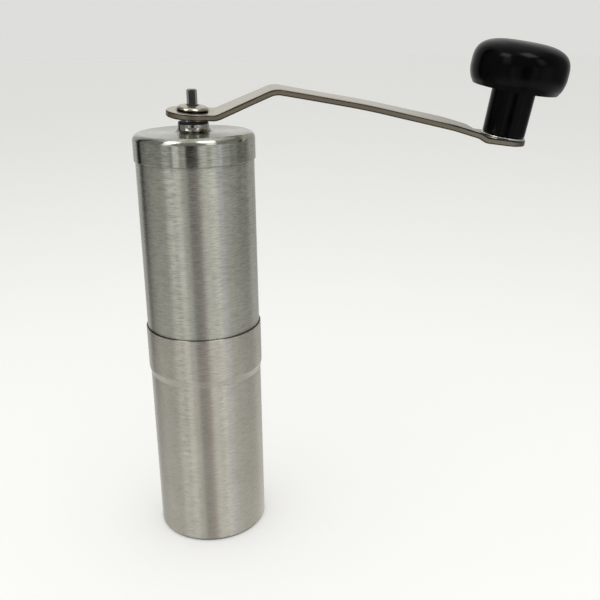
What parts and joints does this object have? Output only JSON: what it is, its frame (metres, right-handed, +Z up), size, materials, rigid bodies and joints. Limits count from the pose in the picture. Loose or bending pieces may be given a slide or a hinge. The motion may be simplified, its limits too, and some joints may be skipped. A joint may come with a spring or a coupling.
{
  "type": "hand crank coffee grinder",
  "caption": "Slim steel hand coffee grinder: hopper tube with conical ceramic burrs, push-on catch cup, drawn lid and lift-off bent crank with a mushroom knob.",
  "frame": {"origin": "centre of the cup's flat base", "axes": "+Z up along the drive shaft, +X along the crank towards the knob at rest"},
  "size_m": [0.175, 0.0482, 0.2071],
  "materials": {
    "body_steel": "fine brushing around the body",
    "crank_plating": "warm nickel plating over stamped steel",
    "shaft_steel": "machined",
    "black_moulding": "fine moulded texture",
    "knob_plastic": "satin black moulding",
    "bush_plastic": "natural acetal",
    "burr_ceramic": "unglazed white",
    "insert_brass": "machined"
  },
  "bodies": {
    "cup": {"grounds_cup": "body_steel"},
    "body": {"upper_tube": "body_steel", "hopper_spider": "black_moulding", "spider_bush": "bush_plastic", "burr_housing": "black_moulding", "housing_bush": "bush_plastic", "burr_retaining_ring": "black_moulding", "outer_burr": "burr_ceramic"},
    "shaft": {"drive_shaft": "shaft_steel", "shaft_clip": "shaft_steel", "thrust_washer": "shaft_steel", "burr_spring": "shaft_steel", "spring_washer": "shaft_steel"},
    "burr": {"inner_burr": "burr_ceramic", "burr_carrier": "black_moulding"},
    "nut": {"adjusting_nut": "black_moulding", "nut_insert": "insert_brass"},
    "lid": {"lid": "body_steel", "lid_bush": "black_moulding", "lid_bush_ring": "shaft_steel"},
    "crank": {"crank_arm": "crank_plating", "crank_socket": "crank_plating", "knob_pin": "shaft_steel", "knob_washer": "crank_plating", "knob_snap_ring": "shaft_steel"},
    "knob": {"knob": "knob_plastic"}
  },
  "joints": [
    {"name": "body_lift", "type": "slide", "parent": "cup", "child": "body", "axis": [0, 0, 1], "range_m": [0, 0.06]},
    {"name": "shaft_spin", "type": "hinge", "parent": "body", "child": "shaft", "pos_m": [0, 0, 0.13], "axis": [0, 0, 1], "continuous": true},
    {"name": "burr_travel", "type": "slide", "parent": "shaft", "child": "burr", "axis": [0, 0, -1], "range_m": [0, 0.0013], "deforming": ["burr_spring"]},
    {"name": "nut_turn", "type": "hinge", "parent": "burr", "child": "nut", "pos_m": [0, 0, 0.072], "axis": [0, 0, 1], "range_deg": [0, 540]},
    {"name": "crank_lift", "type": "slide", "parent": "shaft", "child": "crank", "axis": [0, 0, 1], "range_m": [0, 0.07]},
    {"name": "knob_spin", "type": "hinge", "parent": "crank", "child": "knob", "pos_m": [0.12739, 0.00109, 0.16855], "axis": [0.1478, -0.08, 0.9858], "continuous": true},
    {"name": "lid_lift", "type": "slide", "parent": "body", "child": "lid", "axis": [0, 0, 1], "range_m": [0, 0.035]}
  ],
  "couplings": [
    {"joint": "burr_travel", "follows": "nut_turn", "m_per_rad": 0.0001273},
    {"joint": "lid_lift", "follows": "crank_lift", "ratio": 0.5}
  ]
}
